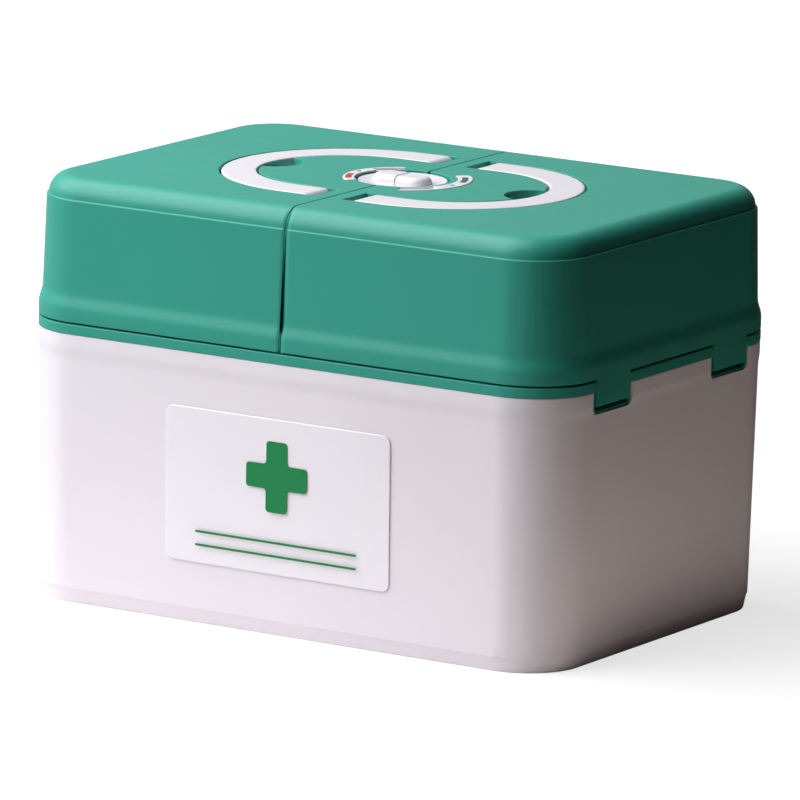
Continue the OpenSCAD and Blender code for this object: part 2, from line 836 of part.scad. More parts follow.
module lock_catch() {
  a0 = catch_mid - catch_half;
  a1 = catch_mid + catch_half;
  color("#d9dce0") difference() {
    union() {
      translate([0, 0, catch_low]) linear_extrude(catch_t) arc2d(catch_in_r, catch_out_r, a0, a1);
      translate([0, 0, catch_low]) linear_extrude(pad_low - catch_low)
        arc2d(catch_groove_r, catch_out_r, a0, a1);
      translate([0, 0, pad_low - catch_flange_t]) linear_extrude(catch_flange_t)
        arc2d(catch_groove_r, catch_flange_r, a0, a1);
    }
    catch_screw_rods(screw_r + face_gap, pad_low - catch_flange_t - 1, pad_low + 1);
  }
}

module catch_screws() {
  z0 = pad_low - catch_flange_t - head_h;
  color(steel) for (s = [-1, 1])
    rotate([0, 0, catch_mid + s * catch_screw_deg]) translate([catch_screw_r, 0, 0]) difference() {
      union() {
        translate([0, 0, z0]) cylinder(r = head_r, h = head_h, $fn = 48);
        translate([0, 0, z0]) cylinder(r = screw_r, h = head_h + catch_flange_t + pad_h - 1.8, $fn = 32);
      }
      cross_slot(z0, head_r, head_h);
    }
}

// Scales
// plan of a scale with one rounded tip
module scale_plan(r0, r1, a0, a1, tip) {
  turn = asin(tip / (r1 - tip));
  difference() {
    arc2d(r0, r1, a0, a1);
    difference() {
      arc2d((r1 - tip) * cos(turn), r1 + 1, a1 - turn, a1 + 2);
      rotate([0, 0, a1 - turn]) translate([r1 - tip, 0]) circle(r = tip + tip_ease, $fn = 48);
    }
  }
}

module mark_place(r0, r1, a0, a1, grow) {
  r = (r0 + r1) / 2;
  mid = a1 - 0.22 * (a1 - a0);
  deg = mark_deg / 2 + grow * 2;
  translate([0, 0, box_top + scale_up - mark_t]) linear_extrude(mark_t + grow * 50)
    arc2d(r - mark_w / 2 - grow, r + mark_w / 2 + grow, mid - deg, mid + deg);
}

module scale(r0, r1, a0, a1) {
  mid = (a0 + a1) / 2;
  r = (r0 + r1) / 2;
  span = 2 * r * sin(ramp_deg / 2);
  difference() {
    translate([0, 0, box_top - scale_deep]) linear_extrude(scale_deep + scale_up)
      scale_plan(r0, r1, a0, a1, scale_tip);
    intersection() {
      translate([0, 0, box_top - scale_deep]) linear_extrude(scale_deep + 1)
        arc2d(r0 - 1, r1 - ramp_edge, a0 - 1, a0 + ramp_deg);
      rotate([0, 0, a0 + ramp_deg / 2]) translate([0, 0, box_top + scale_up])
        rotate([90, 0, 90]) linear_extrude(2 * r1)
          polygon([[span / 2 + 4, -ramp_drop], [span / 2, -ramp_drop], [-span / 2, -ramp_h],
            [-span, -ramp_h], [-span, 4], [span / 2 + 4, 4]]);
    }
    mark_place(r0, r1, a0, a1, seat_fit);
    rotate([0, 0, mid]) translate([r, 0, box_top + scale_up - 0.5]) cylinder(r = 1.4, h = 1, $fn = 32);
  }
}

module scale_right() {
  color(white) scale(scale_in_right, scale_r_right, scale_a0, scale_a1);
}

module scale_left() {
  color(white) scale(scale_in_left, scale_r_left, scale_a0 + 180, scale_a1 + 180);
}

module mark_red() {
  color("#c8463f") mark_place(scale_in_left, scale_r_left, scale_a0 + 180, scale_a1 + 180, 0);
}

module mark_green() {
  color("#2f7d63") mark_place(scale_in_right, scale_r_right, scale_a0, scale_a1, 0);
}

// Lift-out tray
module tray_skin() {
  polygon([[0, tray_low], [corner_r - tray_in - tray_draft, tray_low],
    [corner_r - tray_in, rim_top - 3], [corner_r - tray_in, rim_top],
    [corner_r - deck_w + tray_seat, rim_top], [corner_r - deck_w + tray_seat, tray_top], [0, tray_top]]);
}

module tray_hollow() {
  polygon([[0, tray_floor], [corner_r - tray_in - tray_draft - tray_t, tray_floor],
    [corner_r - tray_in - tray_t, rim_top - 3], [corner_r - tray_in - tray_t, tray_top + 1],
    [0, tray_top + 1]]);
}

// carrying wall with a hand hole; its ears snap into slots of the cross walls
module tray_carrier() {
  r = 14;
  ear = bay_x + tray_t / 2;
  color("#f0eef2") translate([0, grip_wall_t / 2, 0]) rotate([90, 0, 0]) linear_extrude(grip_wall_t)
    difference() {
      union() {
        translate([-carrier_x, tray_floor]) square([2 * carrier_x, grip_top - r - tray_floor]);
        translate([-carrier_x + r, tray_floor]) square([2 * (carrier_x - r), grip_top - tray_floor]);
        translate([-ear, ear_low]) square([2 * ear, ear_h]);
        for (s = [-1, 1])
          translate([s * (carrier_x - r), grip_top - r]) circle(r = r, $fn = 64);
      }
      translate([0, hand_top - hand_h / 2]) round_rect(hand_w, hand_h, hand_h / 2 - 0.01);
    }
}

// slots and guide ribs for the carrying wall on one cross wall
module carrier_slot(s) {
  translate([s * bay_x - tray_t, -grip_wall_t / 2 - seat_fit, ear_low - seat_fit])
    cube([2 * tray_t, grip_wall_t + 2 * seat_fit, ear_h + 2 * seat_fit]);
}

module carrier_ribs(s) {
  for (k = [-1, 1])
    translate([s * (bay_x - tray_t / 2 - guide_in / 2) - guide_in / 2 - 0.2,
      k * (grip_wall_t / 2 + divider_gap + guide_t / 2) - guide_t / 2, tray_floor - 0.5])
      cube([guide_in + 0.4, guide_t, rim_top - bay_low - tray_floor]);
}

module divider_guides() {
  for (sx = [-1, 1])
    for (sy = [-1, 1])
      for (k = [-1, 1])
        translate([sx * divider_x + k * (divider_t / 2 + divider_gap + guide_t / 2) - guide_t / 2,
          sy > 0 ? box_d / 2 - tray_in - tray_draft - tray_t - guide_in
            : -box_d / 2 + tray_in + tray_t / 2, tray_floor - 0.5])
          cube([guide_t, guide_in + tray_draft + tray_t / 2, rim_top - divider_low - tray_floor]);
}

module upper_tray() {
  color("#f0eef2") {
    difference() {
      round_box(tray_low, tray_top) tray_skin();
      round_box(tray_floor, tray_top + 1) tray_hollow();
    }
    for (s = [-1, 1]) {
      difference() {
        intersection() {
          translate([s * bay_x - tray_t / 2, -box_d / 2, tray_low + 1])
            cube([tray_t, box_d, rim_top - bay_low - tray_low - 1]);
          round_box(tray_low, tray_top) tray_skin();
        }
        carrier_slot(s);
      }
      carrier_ribs(s);
    }
    divider_guides();
  }
}

// divider plate that follows the draft of the tray's walls
module divider(x) {
  y0 = box_d / 2 - tray_in - tray_draft - tray_t - divider_gap;
  rise = rim_top - 3 - tray_low;
  top = rim_top - divider_low;
  y1 = y0 + tray_draft * (top - tray_floor) / rise;
  translate([x - divider_t / 2, 0, 0]) rotate([90, 0, 90]) linear_extrude(divider_t)
    polygon([[-y0, tray_floor], [y0, tray_floor], [y1, top], [-y1, top]]);
}

module tray_divider_left() {
  color("#d8e6e2") divider(-divider_x);
}

module tray_divider_right() {
  color("#d8e6e2") divider(divider_x);
}

base_bin();
label_plate();
rim_frame();
hinge_pins_left();
hinge_pins_right();
upper_tray();
tray_carrier();
tray_divider_left();
tray_divider_right();
lid_left();
lid_right();
handle_left();
handle_right();
handle_pins_left();
handle_pins_right();
lock_knob();
lock_hook();
lock_washer();
lock_screw();
lock_catch();
catch_screws();
scale_left();
scale_right();
mark_red();
mark_green();
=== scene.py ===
import json
import math

import bmesh
import bpy
from mathutils import Matrix, Vector


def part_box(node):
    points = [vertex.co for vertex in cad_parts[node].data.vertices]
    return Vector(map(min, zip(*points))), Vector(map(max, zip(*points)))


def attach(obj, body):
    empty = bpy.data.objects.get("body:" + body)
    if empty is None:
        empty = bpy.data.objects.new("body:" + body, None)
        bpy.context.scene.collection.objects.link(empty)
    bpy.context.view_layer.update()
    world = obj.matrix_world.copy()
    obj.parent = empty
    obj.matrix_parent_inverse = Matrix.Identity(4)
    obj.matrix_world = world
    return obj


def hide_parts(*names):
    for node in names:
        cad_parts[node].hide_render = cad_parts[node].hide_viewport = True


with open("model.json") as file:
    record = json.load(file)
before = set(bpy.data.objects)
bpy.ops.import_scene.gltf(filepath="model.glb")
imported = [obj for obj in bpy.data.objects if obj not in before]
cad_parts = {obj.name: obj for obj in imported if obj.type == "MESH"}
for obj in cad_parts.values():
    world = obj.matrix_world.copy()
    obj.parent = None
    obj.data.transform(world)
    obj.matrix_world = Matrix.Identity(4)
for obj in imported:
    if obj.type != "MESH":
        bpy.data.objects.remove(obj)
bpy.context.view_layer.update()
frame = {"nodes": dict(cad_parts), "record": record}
nodes = frame["nodes"]
scene = bpy.context.scene
MM = 0.001

# ---- camera: pinhole fit of the photograph, long lens ----
CAM_AZ = math.radians(32.049)
CAM_EL = math.radians(11.4445)
CAM_ROLL = math.radians(1.214)
CAM_DIST = 4.79384
CAM_AIM = Vector((0, 0, 0.110))
FOCAL_PX = 9218.5
FRAME_PX = 800
SHIFT_PX = (-1.781, -8.466)


def make_camera():
    """The camera that sees the object as the photograph does."""
    back = Vector((math.sin(CAM_AZ) * math.cos(CAM_EL), -math.cos(CAM_AZ) * math.cos(CAM_EL),
                   math.sin(CAM_EL)))
    right = Vector((math.cos(CAM_AZ), math.sin(CAM_AZ), 0))
    up = back.cross(right)
    r = math.cos(CAM_ROLL) * right + math.sin(CAM_ROLL) * up
    u = -math.sin(CAM_ROLL) * right + math.cos(CAM_ROLL) * up
    data = bpy.data.cameras.new("camera")
    data.sensor_width = 36
    data.lens = 36 * FOCAL_PX / FRAME_PX
    data.shift_x = -SHIFT_PX[0] / FRAME_PX
    data.shift_y = SHIFT_PX[1] / FRAME_PX
    data.clip_start = 0.1
    data.clip_end = 60
    cam = bpy.data.objects.new("camera", data)
    m = Matrix((r, u, back)).transposed().to_4x4()
    m.translation = CAM_AIM + back * CAM_DIST
    cam.matrix_world = m
    scene.collection.objects.link(cam)
    scene.camera = cam


make_camera()


# ---- materials ----
class Nodes:
    """A small helper that adds and links shader nodes."""

    def __init__(self, tree):
        self.tree = tree
        tree.nodes.clear()

    def add(self, kind, **props):
        node = self.tree.nodes.new(kind)
        for key, value in props.items():
            if key in node.inputs:
                node.inputs[key].default_value = value
            else:
                setattr(node, key, value)
        return node

    def link(self, a, b):
        self.tree.links.new(a, b)


def rgb(r, g, b):
    """sRGB bytes to a linear colour."""
    def lin(c):
        c = c / 255
        return c / 12.92 if c <= 0.04045 else ((c + 0.055) / 1.055) ** 2.4
    return (lin(r), lin(g), lin(b), 1)


def scaled(c, k):
    return (c[0] * k, c[1] * k, c[2] * k, 1)


GRAIN_MM = 0.55                 # size of the moulded grain
GRAIN_DEEP = 0.00012            # its depth in metres, at full strength
CLOUD = 0.03                    # how much paler and darker the plastic's clouds are
GLOSS_SPREAD = 0.05             # and how much its roughness varies
TURNED_MM = 0.35                # size of the turning marks on the steel


def plastic(name, color, rough, grain, specular=0.45, edge=0.12):
    """Moulded plastic: fine grain, faint clouds, uneven gloss, and rounded edges painted paler as a
    painted highlight.
    """
    mat = bpy.data.materials.new(name)
    mat.use_nodes = True
    n = Nodes(mat.node_tree)
    out = n.add("ShaderNodeOutputMaterial")
    bsdf = n.add("ShaderNodeBsdfPrincipled")
    n.link(bsdf.outputs["BSDF"], out.inputs["Surface"])
    bsdf.inputs["Specular IOR Level"].default_value = specular
    at = n.add("ShaderNodeTexCoord").outputs["Object"]
    cloudy = n.add("ShaderNodeTexNoise", Scale=14.0, Detail=3.0, Roughness=0.55)
    n.link(at, cloudy.inputs["Vector"])
    tint = n.add("ShaderNodeMix", data_type="RGBA")
    tint.inputs["A"].default_value = scaled(color, 1 - CLOUD)
    tint.inputs["B"].default_value = scaled(color, 1 + CLOUD)
    n.link(cloudy.outputs["Fac"], tint.inputs["Factor"])
    # painted highlight: the rounded edges' faces carry the attribute and are painted paler
    painted_edge_highlight = n.add("ShaderNodeAttribute", attribute_name="edge_highlight")
    amount = n.add("ShaderNodeMath", operation="MULTIPLY")
    amount.inputs[1].default_value = edge
    n.link(painted_edge_highlight.outputs["Fac"], amount.inputs[0])
    pale = n.add("ShaderNodeMix", data_type="RGBA")
    n.link(amount.outputs[0], pale.inputs["Factor"])
    n.link(tint.outputs["Result"], pale.inputs["A"])
    pale.inputs["B"].default_value = tuple(min(1, c * 0.6 + 0.4) for c in color[:3]) + (1,)
    n.link(pale.outputs["Result"], bsdf.inputs["Base Color"])
    # uneven gloss
    patchy = n.add("ShaderNodeTexNoise", Scale=60.0, Detail=4.0, Roughness=0.6)
    n.link(at, patchy.inputs["Vector"])
    gloss = n.add("ShaderNodeMapRange")
    gloss.inputs["To Min"].default_value = rough - GLOSS_SPREAD
    gloss.inputs["To Max"].default_value = rough + GLOSS_SPREAD
    n.link(patchy.outputs["Fac"], gloss.inputs["Value"])
    n.link(gloss.outputs["Result"], bsdf.inputs["Roughness"])
    # grain
    fine = n.add("ShaderNodeTexNoise", Scale=1 / (GRAIN_MM * MM), Detail=2.0, Roughness=0.5)
    n.link(at, fine.inputs["Vector"])
    bump = n.add("ShaderNodeBump", Strength=grain, Distance=GRAIN_DEEP)
    n.link(fine.outputs["Fac"], bump.inputs["Height"])
    n.link(bump.outputs["Normal"], bsdf.inputs["Normal"])
    return mat


def metal(name, color, rough=0.3):
    """Plated steel with fine turning marks."""
    mat = bpy.data.materials.new(name)
    mat.use_nodes = True
    n = Nodes(mat.node_tree)
    out = n.add("ShaderNodeOutputMaterial")
    bsdf = n.add("ShaderNodeBsdfPrincipled")
    n.link(bsdf.outputs["BSDF"], out.inputs["Surface"])
    bsdf.inputs["Metallic"].default_value = 1.0
    at = n.add("ShaderNodeTexCoord").outputs["Object"]
    spots = n.add("ShaderNodeTexNoise", Scale=220.0, Detail=4.0, Roughness=0.6)
    n.link(at, spots.inputs["Vector"])
    tint = n.add("ShaderNodeMix", data_type="RGBA")
    tint.inputs["A"].default_value = scaled(color, 0.86)
    tint.inputs["B"].default_value = scaled(color, 1.08)
    n.link(spots.outputs["Fac"], tint.inputs["Factor"])
    n.link(tint.outputs["Result"], bsdf.inputs["Base Color"])
    gloss = n.add("ShaderNodeMapRange")
    gloss.inputs["To Min"].default_value = rough - 0.08
    gloss.inputs["To Max"].default_value = rough + 0.1
    n.link(spots.outputs["Fac"], gloss.inputs["Value"])
    n.link(gloss.outputs["Result"], bsdf.inputs["Roughness"])
    fine = n.add("ShaderNodeTexNoise", Scale=1 / (TURNED_MM * MM), Detail=1.0)
    n.link(at, fine.inputs["Vector"])
    bump = n.add("ShaderNodeBump", Strength=0.2, Distance=0.00005)
    n.link(fine.outputs["Fac"], bump.inputs["Height"])
    n.link(bump.outputs["Normal"], bsdf.inputs["Normal"])
    return mat


MAT = {
    "green_shell": plastic("green_plastic", rgb(46, 149, 132), rough=0.44, grain=0.3,
                           specular=0.35, edge=0.16),
    "white_shell": plastic("white_plastic", rgb(228, 223, 230), rough=0.36, grain=0.12,
                           specular=0.35, edge=0.3),
    "white_trim": plastic("trim_plastic", rgb(220, 216, 223), rough=0.34, grain=0.12, edge=0.3),
    "label": plastic("label_sheet", rgb(235, 231, 238), rough=0.3, grain=0.04, specular=0.4),
    "tray_white": plastic("tray_plastic", rgb(236, 233, 238), rough=0.38, grain=0.15),
    "divider": plastic("divider_plastic", rgb(214, 226, 222), rough=0.3, grain=0.1),
    "nylon": plastic("nylon", rgb(214, 216, 219), rough=0.45, grain=0.2),
    "steel": metal("plated_steel", rgb(196, 200, 205)),
    "mark_red": plastic("mark_red", rgb(178, 40, 32), rough=0.35, grain=0.1),
    "mark_green": plastic("mark_green", rgb(18, 84, 62), rough=0.35, grain=0.1),
}
PRINT_GREEN = plastic("print_green", rgb(20, 128, 70), rough=0.4, grain=0.05, specular=0.3)
DOT_GREY = plastic("dot_grey", rgb(150, 152, 156), rough=0.4, grain=0.05, specular=0.3)


# ---- visible shells: the CAD shapes with rounded edges ----
WELD = 2e-6                     # points nearer than this, in metres, are one
FLAT_DEG = 0.5                  # faces that differ less than this are one flat face
SMOOTH_DEG = 38                 # edges flatter than this are shaded smooth
SHARP_DEG = 28                  # and edges sharper than this are rounded off
ROOM = 2.1                      # where the faces beside are this much wider than the rounding


def tidy_copy(node):
    """A welded copy of a CAD node's mesh with its flat faces merged."""
    bm = bmesh.new()
    bm.from_mesh(nodes[node].data)
    bmesh.ops.remove_doubles(bm, verts=bm.verts, dist=WELD)
    bmesh.ops.dissolve_degenerate(bm, dist=WELD, edges=bm.edges)
    bmesh.ops.dissolve_limit(bm, angle_limit=math.radians(FLAT_DEG), use_dissolve_boundaries=False,
                             verts=bm.verts, edges=bm.edges)
    return bm


def finish_mesh(bm, name):
    """An object made of bm, smooth but for its sharp edges."""
    mesh = bpy.data.meshes.new(name)
    bmesh.ops.triangulate(bm, faces=[f for f in bm.faces if len(f.verts) > 4],
                          ngon_method="EAR_CLIP")
    bm.normal_update()
    bm.to_mesh(mesh)
    bm.free()
    mesh.polygons.foreach_set("use_smooth", [True] * len(mesh.polygons))
    obj = bpy.data.objects.new(name, mesh)
    scene.collection.objects.link(obj)
    mesh.set_sharp_from_angle(angle=math.radians(SMOOTH_DEG))
    weighted = obj.modifiers.new("weighted", "WEIGHTED_NORMAL")
    weighted.keep_sharp = True
    weighted.mode = "FACE_AREA"
    weighted.weight = 100
    return obj


SPLIT_GAP = 0.4                 # the lids' inner edges lie at this |x|, in mm
SPLIT_NEAR = 0.6                # everything nearer to x = 0 than this belongs to them
SPLIT_EDGE = 0.12               # the small rounding of the edges themselves
SPLIT = {"lid_left": (2.15, 0.6), "lid_right": (3.55, 1.31)}    # the large rounding: width, depth
SPLIT_STEPS = 8                 # the strips that carry it
LID_CORE = Vector((0, 0, 0.17))     # a point inside the lids


def round_split(bm, node):
    """Rounds the lid's front and back down towards the split between the lids."""
    run, depth = SPLIT[node]
    side = 1 if node == "lid_right" else -1
    for x in (SPLIT_GAP + run * k / SPLIT_STEPS for k in range(1, SPLIT_STEPS + 1)):
        bmesh.ops.bisect_plane(bm, geom=bm.verts[:] + bm.edges[:] + bm.faces[:], dist=1e-6,
                               plane_co=(side * x * MM, 0, 0), plane_no=(1, 0, 0))
    bm.normal_update()
    moves = {}
    for v in bm.verts:
        d = abs(v.co.x) / MM - SPLIT_GAP
        if d >= run:
            continue
        normal = Vector()
        for f in v.link_faces:
            if abs(f.normal.x) < 0.7:
                normal += f.normal * f.calc_area() ** 0.5
        if normal.length < 1e-9:
            continue
        normal.x = 0
        normal.normalize()
        outward = normal.dot(v.co - Vector((v.co.x, 0, 0)) - LID_CORE)
        if outward <= 0 or normal.z < -0.5:
            continue
        t = 1 - max(0.0, d) / run
        # the rounding fades out where the skin turns upward to the flat top
        level = max(0.0, min(1.0, (0.98 - normal.z) / 0.3))
        moves[v] = normal * (-depth * MM * t * t * level * level * (3 - 2 * level))
    for v, move in moves.items():
        v.co += move


def soften(node, width_mm, seg):
    """The node's shape with its sharp edges rounded off by width_mm."""
    bm = tidy_copy(node)
    lid = node in SPLIT
    if lid:
        round_split(bm, node)
    layer = bm.faces.layers.int.new("was")
    for f in bm.faces:
        f[layer] = 1

    def at_split(e):
        return lid and all(abs(v.co.x) < SPLIT_NEAR * MM for v in e.verts)

    def roomy(e, width):
        """Whether both faces reach far enough from the edge to carry the rounding."""
        start = e.verts[0].co
        along = (e.verts[1].co - start).normalized()
        return all(max((v.co - start).cross(along).length for v in f.verts) > ROOM * width * MM
                   for f in e.link_faces)
    for width, wanted in ((width_mm, False), (SPLIT_EDGE, True)):
        picked = [e for e in bm.edges if e.is_manifold and e.is_convex and at_split(e) == wanted
                  and e.calc_face_angle(0) > math.radians(SHARP_DEG) and roomy(e, width)]
        if picked:
            bmesh.ops.bevel(bm, geom=picked, offset=width * MM, offset_type="OFFSET",
                            segments=seg, profile=0.5, affect="EDGES", clamp_overlap=False,
                            loop_slide=False, material=-1)
    # the faces made by the rounding carry the painted highlight on the edges
    edge_highlight_layer = bm.faces.layers.float.new("edge_highlight")
    for f in bm.faces:
        f[edge_highlight_layer] = 0.0 if f[layer] == 1 else 1.0
    return bm


def dress(obj, material, body):
    """Gives a piece its material and the body it rides on."""
    obj.data.materials.append(material)
    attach(obj, body)


SLOT_OF = {s["node"]: s["material_slot"] for s in frame["record"]["subparts"]}
BODY_OF = {n: b for b, ns in frame["record"]["behaviour"]["bodies"].items() for n in ns}
for node, obj in nodes.items():
    obj.data.materials.clear()
    obj.data.materials.append(MAT[SLOT_OF[node]])

# every node is shown by a copy with softened edges: their rounding in mm, and its steps
SOFT = {
    "base_bin": (0.5, 2), "rim_frame": (0.35, 2), "lid_left": (0.45, 2), "lid_right": (0.45, 2),
    "handle_left": (0.9, 3), "handle_right": (0.9, 3), "lock_knob": (0.32, 2),
    "scale_left": (0.35, 2), "scale_right": (0.35, 2), "label_plate": (0.35, 2),
    "upper_tray": (0.25, 2), "tray_carrier": (0.9, 3), "tray_divider_left": (0.4, 2),
    "tray_divider_right": (0.4, 2), "lock_hook": (0.25, 2), "lock_catch": (0.3, 2),
    "lock_washer": (0.15, 2), "lock_screw": (0.2, 2), "catch_screws": (0.2, 2),
    "hinge_pins_left": (0.25, 2), "hinge_pins_right": (0.25, 2),
    "handle_pins_left": (0.2, 2), "handle_pins_right": (0.2, 2),
    "mark_red": (0.06, 2), "mark_green": (0.06, 2),
}
for node, (width, seg) in SOFT.items():
    shell = finish_mesh(soften(node, width, seg), node + "_soft")
    dress(shell, MAT[SLOT_OF[node]], BODY_OF[node])
    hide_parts(node)


# ---- small printed pieces ----
PRINT_SUNK = 0.02               # how far the label's print goes into the label, in mm
PRINT_PROUD = 0.06              # and how far it stands out of it
PRINT_EDGE = 0.02               # rounding of its edges
PLUS_UP = 0.63                  # height of the plus sign's centre, as a share of the label's
PLUS_ARM, PLUS_HALF, PLUS_ROUND = 18.5, 6.4, 1.9    # half its length, half its arm's width, corners
LINE_LONG, LINE_HALF, LINE_ROUND = 98, 0.6, 0.55    # the ruled lines, likewise
LINES_UP = (17.0, 10.0)         # their heights above the label's foot
DOT_RADIUS, DOT_SIDES = 1.35, 24
DOT_SUNK, DOT_PROUD, DOT_EDGE = 0.05, 0.18, 0.08
DOTS = {"left": ("scale_left", 28.2, 176), "right": ("scale_right", 32.5, -6)}     # mm and degrees


def plate(outline, z0, z1, edge, to_world):
    """A thin plate over a closed outline, its upper edge rounded off."""
    bm = bmesh.new()
    rings = []
    count = len(outline)
    for z, inset in ((z0, 0), (z1 - edge, 0), (z1 - 0.3 * edge, 0.3 * edge), (z1, edge)):
        ring = []
        for i, p in enumerate(outline):
            a = Vector(outline[i - 1])
            b = Vector(outline[(i + 1) % count])
            along = (b - a).normalized()
            inward = Vector((-along.y, along.x))
            q = Vector(p) + inward * inset
            ring.append(bm.verts.new(to_world(q.x, q.y, z)))
        rings.append(ring)
    for low, high in zip(rings, rings[1:]):
        for i in range(count):
            j = (i + 1) % count
            bm.faces.new((low[i], low[j], high[j], high[i]))
    bm.faces.new(rings[-1])
    bm.faces.new(list(reversed(rings[0])))
    bmesh.ops.recalc_face_normals(bm, faces=bm.faces)
    return bm


def rounded(points, radius, steps=6):
    """The corners of a closed outline rounded off, inner corners too."""
    out = []
    count = len(points)
    for i in range(count):
        p = Vector(points[i])
        a = (Vector(points[i - 1]) - p).normalized()
        b = (Vector(points[(i + 1) % count]) - p).normalized()
        half = math.acos(max(-1, min(1, a.dot(b)))) / 2
        reach = radius / math.tan(half)
        centre = p + (a + b).normalized() * (radius / math.sin(half))
        start = p + a * reach - centre
        turn = p + b * reach - centre
        sweep = math.atan2(start.x * turn.y - start.y * turn.x, start.dot(turn))
        for k in range(steps + 1):
            t = sweep * k / steps
            out.append((centre.x + start.x * math.cos(t) - start.y * math.sin(t),
                        centre.y + start.x * math.sin(t) + start.y * math.cos(t)))
    return out


def on_label_print(name, outline, to_world):
    """One printed shape on the label."""
    bm = plate(outline, -PRINT_SUNK, PRINT_PROUD, PRINT_EDGE, to_world)
    dress(finish_mesh(bm, name), PRINT_GREEN, BODY_OF["label_plate"])


def label_print():
    """A generic plus sign over two blank ruled lines, printed on the label."""
    low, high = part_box("label_plate")
    face = low[1]

    def on_label(x, z, out):
        return Vector((x * MM, face - out * MM, z * MM))
    cx = (low[0] + high[0]) / 2 / MM
    cz = low[2] / MM + PLUS_UP * (high[2] - low[2]) / MM
    arm, half = PLUS_ARM, PLUS_HALF
    plus = [(half, half), (half, arm), (-half, arm), (-half, half), (-arm, half), (-arm, -half),
            (-half, -half), (-half, -arm), (half, -arm), (half, -half), (arm, -half), (arm, half)]
    plus = [(cx + x, cz + z) for x, z in rounded(plus, PLUS_ROUND)]
    on_label_print("label_plus", plus, on_label)
    end, half = LINE_LONG / 2, LINE_HALF
    bar = rounded([(end, half), (-end, half), (-end, -half), (end, -half)], LINE_ROUND, 4)
    for i, up in enumerate(LINES_UP):
        line = [(cx + x, up + low[2] / MM + z) for x, z in bar]
        on_label_print("label_line_%d" % (i + 1), line, on_label)


def scale_dots():
    """A small grey dot beside each mark on the knob's scales."""
    for side, (node, radius, angle) in DOTS.items():
        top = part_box(node)[1][2]

        def on_top(x, y, out):
            return Vector((x * MM, y * MM, top + out * MM))
        cx = radius * math.cos(math.radians(angle))
        cy = radius * math.sin(math.radians(angle))
        turns = [math.tau * k / DOT_SIDES for k in range(DOT_SIDES)]
        ring = [(cx + DOT_RADIUS * math.cos(t), cy + DOT_RADIUS * math.sin(t)) for t in turns]
        bm = plate(ring, -DOT_SUNK, DOT_PROUD, DOT_EDGE, on_top)
        dress(finish_mesh(bm, "scale_dot_" + side), DOT_GREY, BODY_OF[node])


# ---- thin pieces beside the knob and in the gap between the lids ----
WELL = (24.85, 25.17, -3.2, -0.35, 119.5, 229.5)    # radii, heights over the scale, angles
RAMP = (28.75, 29.35, -1.9, 0.28, -60.5, -26.0)
LAND_DOWN = 0.3                 # the scale's flat land lies this far below its highest point
STEP_DEG = 3                    # the strips are bent in steps of this
TONGUE_IN = 0.9                 # how far the tongue stays inside the lid's edge, in mm
TONGUE_OUT = 0.7                # and how far it stands out of it


def arc_wall(name, r0, r1, z0, z1, a0, a1, slot, body):
    """An upright strip bent round the knob's axis, its upper edges rounded off."""
    bm = bmesh.new()
    soft = min(0.12, (r1 - r0) * 0.35)
    corner = 0.3 * soft
    section = [(r0, z0), (r1, z0), (r1, z1 - soft), (r1 - corner, z1 - corner), (r1 - soft, z1),
               (r0 + soft, z1), (r0 + corner, z1 - corner), (r0, z1 - soft)]
    steps = max(8, int((a1 - a0) / STEP_DEG))
    rings = []
    for k in range(steps + 1):
        a = math.radians(a0 + (a1 - a0) * k / steps)
        out = Vector((math.cos(a), math.sin(a), 0))
        rings.append([bm.verts.new((out * r + Vector((0, 0, z))) * MM) for r, z in section])
    count = len(section)
    for low, high in zip(rings, rings[1:]):
        for i in range(count):
            j = (i + 1) % count
            bm.faces.new((low[i], low[j], high[j], high[i]))
    bm.faces.new(rings[0])
    bm.faces.new(rings[-1])
    bmesh.ops.recalc_face_normals(bm, faces=bm.faces)
    dress(finish_mesh(bm, name), MAT[slot], body)


def split_strip():
    """A thin tongue on the left lid's inner edge that closes the gap between the lids."""
    bm = tidy_copy("lid_left")
    bm.normal_update()
    away = [f for f in bm.faces
            if f.normal.x < 0.99 or abs(f.calc_center_median().x) > SPLIT_NEAR * MM]
    bmesh.ops.delete(bm, geom=away, context="FACES")
    rim = bmesh.ops.inset_region(bm, faces=bm.faces[:], thickness=TONGUE_IN * MM, use_boundary=True,
                                 use_even_offset=True)["faces"]
    bmesh.ops.delete(bm, geom=rim, context="FACES")
    moved = bmesh.ops.extrude_face_region(bm, geom=bm.faces[:])["geom"]
    for v in (g for g in moved if isinstance(g, bmesh.types.BMVert)):
        v.co.x += TONGUE_OUT * MM
    bmesh.ops.recalc_face_normals(bm, faces=bm.faces)
    dress(finish_mesh(bm, "split_tongue"), MAT["green_shell"], BODY_OF["lid_left"])


def knob_linings():
    """The green skin of the well beside the left scale and the right ramp's white inner lip."""
    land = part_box("scale_left")[1][2] / MM - LAND_DOWN
    for name, (r0, r1, z0, z1, a0, a1), slot, node in (
            ("well_lining", WELL, "green_shell", "lid_left"),
            ("ramp_lining", RAMP, "white_trim", "scale_right")):
        arc_wall(name, r0, r1, land + z0, land + z1, a0, a1, slot, BODY_OF[node])


label_print()
scale_dots()
knob_linings()
split_strip()


# ---- floor, lights, world ----
def seen_directly(n):
    """1 for rays from the camera, from gloss and through glass, else 0."""
    path = n.add("ShaderNodeLightPath")
    first = n.add("ShaderNodeMath", operation="MAXIMUM")
    n.link(path.outputs["Is Camera Ray"], first.inputs[0])
    n.link(path.outputs["Is Glossy Ray"], first.inputs[1])
    both = n.add("ShaderNodeMath", operation="MAXIMUM")
    n.link(first.outputs[0], both.inputs[0])
    n.link(path.outputs["Is Transmission Ray"], both.inputs[1])
    return both.outputs[0]


